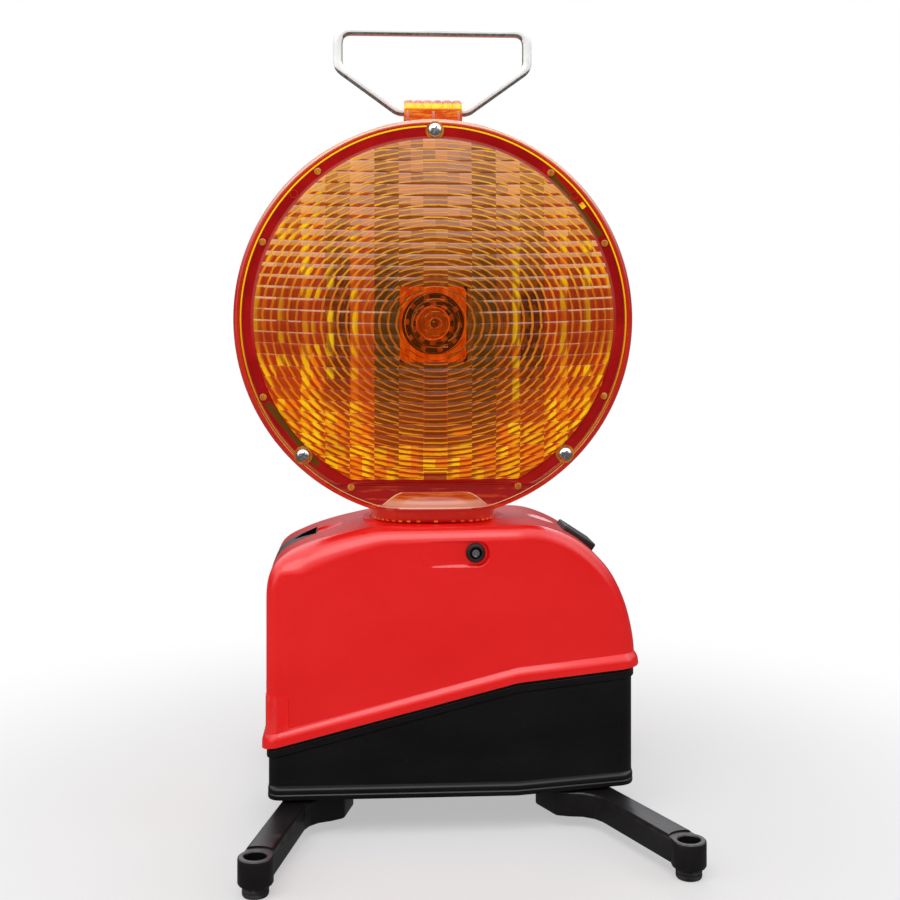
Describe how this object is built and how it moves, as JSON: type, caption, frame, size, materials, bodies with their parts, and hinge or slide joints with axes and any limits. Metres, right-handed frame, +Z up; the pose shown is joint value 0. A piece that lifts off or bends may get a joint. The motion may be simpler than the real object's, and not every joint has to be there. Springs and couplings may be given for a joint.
{
  "type": "portable warning lamp",
  "caption": "Round amber flashing warning lamp on a swivel neck, over a hinged battery box with a wire carrying handle and swing-out feet.",
  "frame": {"origin": "bottom centre of the lamp's box, on the ground the feet stand on", "axes": "+Z up, the front lens faces -Y, +X is to the right of someone who looks at the front lens"},
  "size_m": [0.2135, 0.2182, 0.3923],
  "materials": {
    "signal_red": "semi-gloss, fine moulded texture",
    "case_black": "satin, fine moulded texture",
    "amber_lens": "clear amber, polished prisms",
    "housing_red_orange": "translucent red-orange, polished",
    "leg_charcoal": "satin",
    "rubber": "matt",
    "zinc_steel": "bright zinc plated",
    "bright_steel": "polished",
    "circuit_board": "solder mask",
    "dark_plastic": "satin",
    "battery_sleeve": "printed sleeve without lettering",
    "cable_black": "matt"
  },
  "bodies": {
    "case": {"battery_case": "case_black", "case_gasket": "rubber", "case_stud": "bright_steel", "hinge_pin": "bright_steel", "battery_1": "battery_sleeve", "battery_1_spring_minus": "zinc_steel", "battery_1_spring_plus": "zinc_steel", "battery_2": "battery_sleeve", "battery_2_spring_minus": "zinc_steel", "battery_2_spring_plus": "zinc_steel", "front_left_pivot_bolt": "zinc_steel", "front_right_pivot_bolt": "zinc_steel", "rear_left_pivot_bolt": "zinc_steel", "rear_right_pivot_bolt": "zinc_steel"},
    "hood": {"hood": "signal_red", "shoulder_cover": "dark_plastic", "button_seat": "dark_plastic", "button_spring": "bright_steel", "key_bezel": "dark_plastic", "key_switch_body": "dark_plastic", "contact_board": "circuit_board", "flasher_board": "circuit_board"},
    "head": {"head_housing": "housing_red_orange", "front_lens": "amber_lens", "rear_lens": "amber_lens", "front_lens_gasket": "rubber", "rear_lens_gasket": "rubber", "lens_screw_1": "bright_steel", "lens_screw_2": "bright_steel", "lens_screw_3": "bright_steel", "screw_nut_1": "zinc_steel", "screw_nut_2": "zinc_steel", "screw_nut_3": "zinc_steel", "handle_clip": "amber_lens", "led_board": "circuit_board", "led_housing_front": "amber_lens", "led_housing_rear": "amber_lens", "led_emitter_front": "amber_lens", "led_emitter_rear": "amber_lens", "led_post": "housing_red_orange", "led_screw": "bright_steel", "sensor_board": "circuit_board", "swivel_seal": "rubber", "swivel_nut": "dark_plastic", "lamp_cable": "cable_black"},
    "handle": {"handle": "zinc_steel"},
    "key": {"key_barrel": "bright_steel"},
    "lock": {"hood_lock": "bright_steel", "lock_cam": "zinc_steel"},
    "button": {"lock_button": "dark_plastic"},
    "front_left_leg": {"front_left_leg": "leg_charcoal", "front_left_foot": "rubber"},
    "front_right_leg": {"front_right_leg": "leg_charcoal", "front_right_foot": "rubber"},
    "rear_left_leg": {"rear_left_leg": "leg_charcoal", "rear_left_foot": "rubber"},
    "rear_right_leg": {"rear_right_leg": "leg_charcoal", "rear_right_foot": "rubber"}
  },
  "joints": [
    {"name": "hood_open", "type": "hinge", "parent": "case", "child": "hood", "pos_m": [0.09045, 0, 0.0746], "axis": [0, 1, 0], "range_deg": [0, 95]},
    {"name": "head_swivel", "type": "hinge", "parent": "hood", "child": "head", "pos_m": [-0.00875, 0, 0.146], "axis": [0, 0, 1], "range_deg": [-175, 175]},
    {"name": "handle_swing", "type": "hinge", "parent": "head", "child": "handle", "pos_m": [-0.00875, 0, 0.3495], "axis": [1, 0, 0], "range_deg": [-88, 88]},
    {"name": "key_turn", "type": "hinge", "parent": "hood", "child": "key", "pos_m": [0.00965, -0.041, 0.134], "axis": [0, 1, 0], "range_deg": [0, 90]},
    {"name": "lock_turn", "type": "hinge", "parent": "hood", "child": "lock", "pos_m": [-0.08945, 0, 0.0625], "axis": [1, 0, 0], "range_deg": [0, 90]},
    {"name": "button_press", "type": "slide", "parent": "hood", "child": "button", "axis": [-0.5446, 0, -0.8387], "range_m": [0, 0.002], "stiffness_N_per_m": 800, "springref_m": -0.002},
    {"name": "front_left_leg_swing", "type": "hinge", "parent": "case", "child": "front_left_leg", "pos_m": [-0.06575, -0.019, 0.0116], "axis": [0, 0, -1], "range_deg": [-47, 78]},
    {"name": "front_right_leg_swing", "type": "hinge", "parent": "case", "child": "front_right_leg", "pos_m": [0.05925, -0.019, 0.0116], "axis": [0, 0, 1], "range_deg": [-59, 66]},
    {"name": "rear_left_leg_swing", "type": "hinge", "parent": "case", "child": "rear_left_leg", "pos_m": [-0.06575, 0.019, 0.0116], "axis": [0, 0, 1], "range_deg": [-47, 78]},
    {"name": "rear_right_leg_swing", "type": "hinge", "parent": "case", "child": "rear_right_leg", "pos_m": [0.05925, 0.019, 0.0116], "axis": [0, 0, -1], "range_deg": [-59, 66]}
  ]
}
